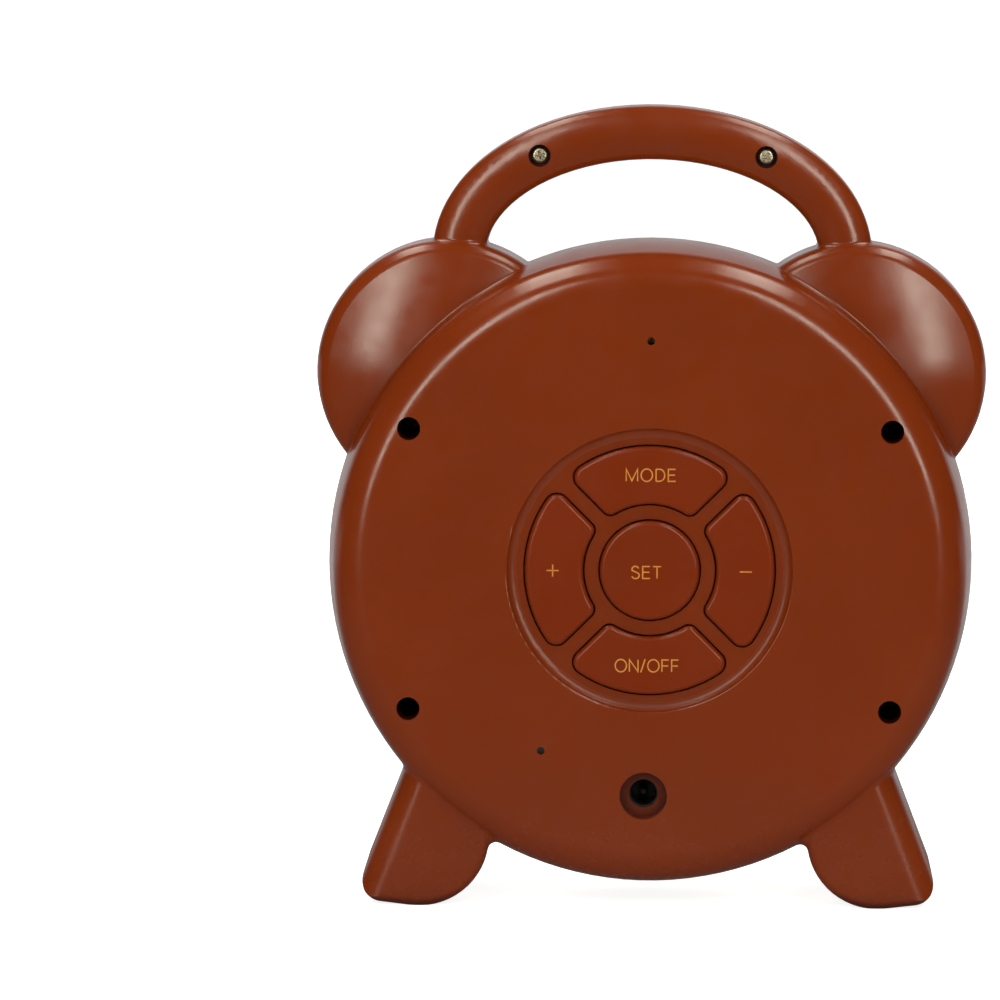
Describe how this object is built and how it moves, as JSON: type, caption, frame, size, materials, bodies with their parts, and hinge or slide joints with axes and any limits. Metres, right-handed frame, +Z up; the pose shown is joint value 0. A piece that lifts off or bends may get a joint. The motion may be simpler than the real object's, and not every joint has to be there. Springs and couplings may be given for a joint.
{
  "type": "alarm clock with night light",
  "caption": "Round bedside alarm clock with domed ears, an arched carrying handle, two feet, a lit front face and a ring of rear keys.",
  "frame": {"origin": "on the floor, under the middle of the drum", "axes": "+Z up, the lit face looks along -Y, the keys look along +Y, +X is to the right of someone facing the lit face"},
  "size_m": [0.1654, 0.0504, 0.1974],
  "materials": {
    "case_plastic": "satin, fine moulded texture",
    "amber_plastic": "gloss",
    "face_plastic": "satin translucent",
    "smoked_plastic": "gloss",
    "white_plastic": "satin",
    "clear_plastic": "gloss",
    "display_glass": "gloss",
    "board_laminate": "satin",
    "black_plastic": "satin",
    "lamp_plastic": "gloss",
    "capacitor_can": "satin",
    "steel": "satin",
    "brass": "satin",
    "cell_sleeve": "gloss"
  },
  "bodies": {
    "case": {"rear_shell": "case_plastic", "front_shell": "case_plastic", "ear_insert_left": "amber_plastic", "ear_insert_right": "amber_plastic", "face_lens": "face_plastic", "display_window": "smoked_plastic", "reflector": "white_plastic", "lcd_holder": "white_plastic", "lcd_glass": "display_glass", "light_guide": "clear_plastic", "display_board": "board_laminate", "night_light_leds": "lamp_plastic", "main_board": "board_laminate", "main_chips": "black_plastic", "main_capacitors": "capacitor_can", "display_header": "black_plastic", "key_header": "black_plastic", "key_board": "board_laminate", "key_switches": "black_plastic", "power_board": "board_laminate", "reset_switch": "black_plastic", "dc_jack": "black_plastic", "dc_jack_pin": "steel", "sounder_case": "black_plastic", "sounder_disc": "brass", "battery_cell": "cell_sleeve", "battery_cradle": "black_plastic", "battery_contacts": "steel", "case_screws": "steel", "handle_screws": "steel", "board_screws": "steel"},
    "set_button": {"set_key": "case_plastic", "set_plunger": "black_plastic"},
    "mode_button": {"mode_key": "case_plastic", "mode_plunger": "black_plastic"},
    "minus_button": {"minus_key": "case_plastic", "minus_plunger": "black_plastic"},
    "on_off_button": {"on_off_key": "case_plastic", "on_off_plunger": "black_plastic"},
    "plus_button": {"plus_key": "case_plastic", "plus_plunger": "black_plastic"},
    "reset_button": {"reset_plunger": "white_plastic"}
  },
  "joints": [
    {"name": "set_press", "type": "slide", "parent": "case", "child": "set_button", "axis": [0, -1, 0], "range_m": [0, 0.0008], "stiffness_N_per_m": 1500},
    {"name": "mode_press", "type": "slide", "parent": "case", "child": "mode_button", "axis": [0, -1, 0], "range_m": [0, 0.0008], "stiffness_N_per_m": 1500},
    {"name": "minus_press", "type": "slide", "parent": "case", "child": "minus_button", "axis": [0, -1, 0], "range_m": [0, 0.0008], "stiffness_N_per_m": 1500},
    {"name": "on_off_press", "type": "slide", "parent": "case", "child": "on_off_button", "axis": [0, -1, 0], "range_m": [0, 0.0008], "stiffness_N_per_m": 1500},
    {"name": "plus_press", "type": "slide", "parent": "case", "child": "plus_button", "axis": [0, -1, 0], "range_m": [0, 0.0008], "stiffness_N_per_m": 1500},
    {"name": "reset_press", "type": "slide", "parent": "case", "child": "reset_button", "axis": [0, -1, 0], "range_m": [0, 0.0004], "stiffness_N_per_m": 1500}
  ]
}
